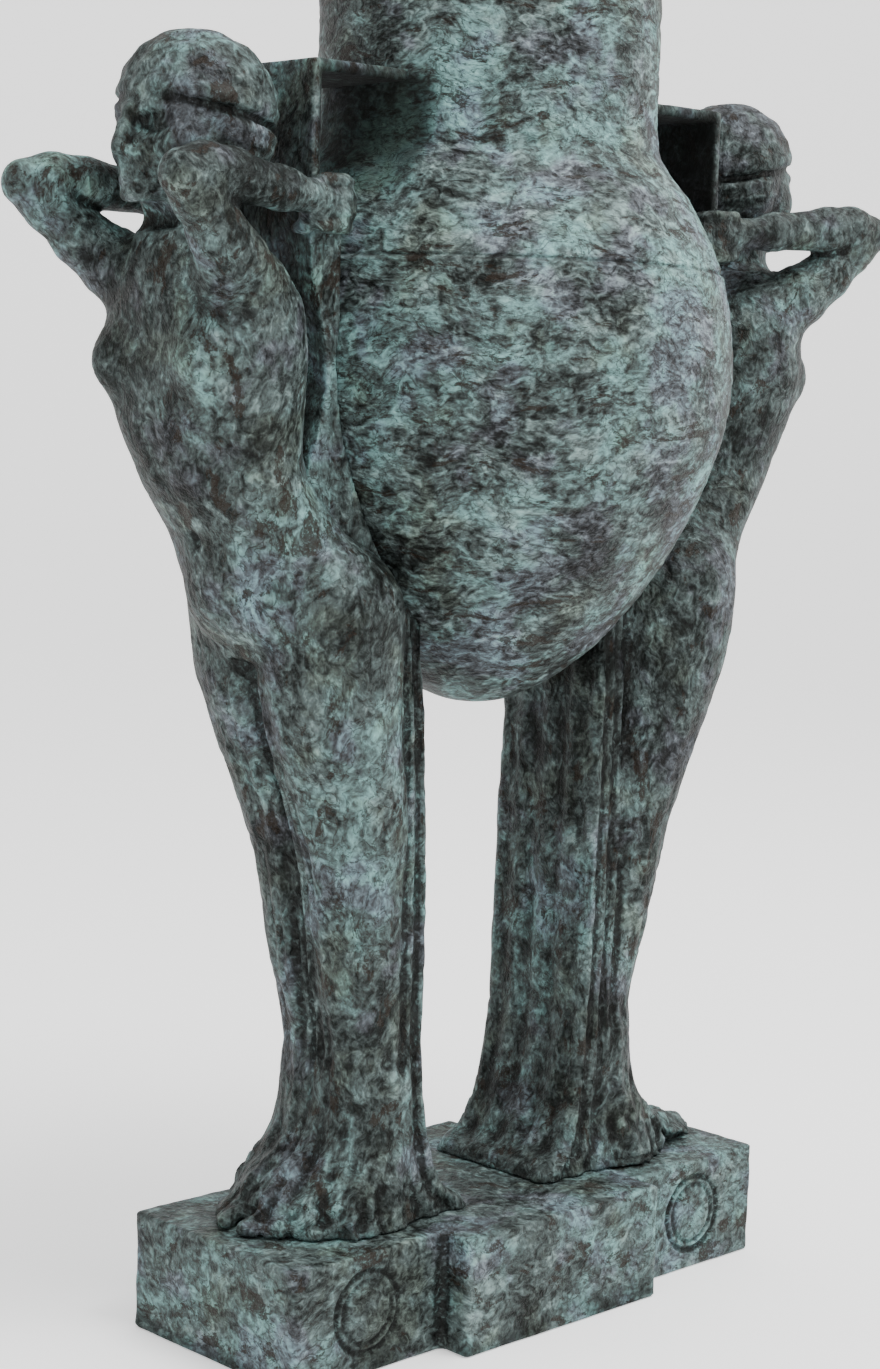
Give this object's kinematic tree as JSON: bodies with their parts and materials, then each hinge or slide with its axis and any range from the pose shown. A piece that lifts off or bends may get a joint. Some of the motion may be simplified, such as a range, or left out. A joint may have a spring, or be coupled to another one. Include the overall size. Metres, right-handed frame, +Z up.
{
  "type": "bronze garden sculpture of women carrying a vase",
  "caption": "Patinated bronze of women standing back to back who carry a tall open vase by its strap handles, on a stepped plinth with ring roundels.",
  "frame": {"origin": "centre of the plinth's underside, on the ground", "axes": "+Z up; X runs along the plinth, with one woman facing -X and the other +X; Y runs across it"},
  "size_m": [0.928, 0.4744, 1.3],
  "materials": {
    "plinth": "bronze with a dark grey-green and near-black patina, worn pale on its edges",
    "vase": "bronze with a light blue-green patina in level brush marks over dark brown",
    "woman_left": "bronze with a mottled blue-green, grey-violet and near-black patina",
    "woman_right": "bronze with a mottled blue-green, grey-violet and near-black patina"
  },
  "bodies": {
    "root": {"plinth": "plinth", "vase": "vase", "woman_left": "woman_left", "woman_right": "woman_right"}
  },
  "joints": []
}
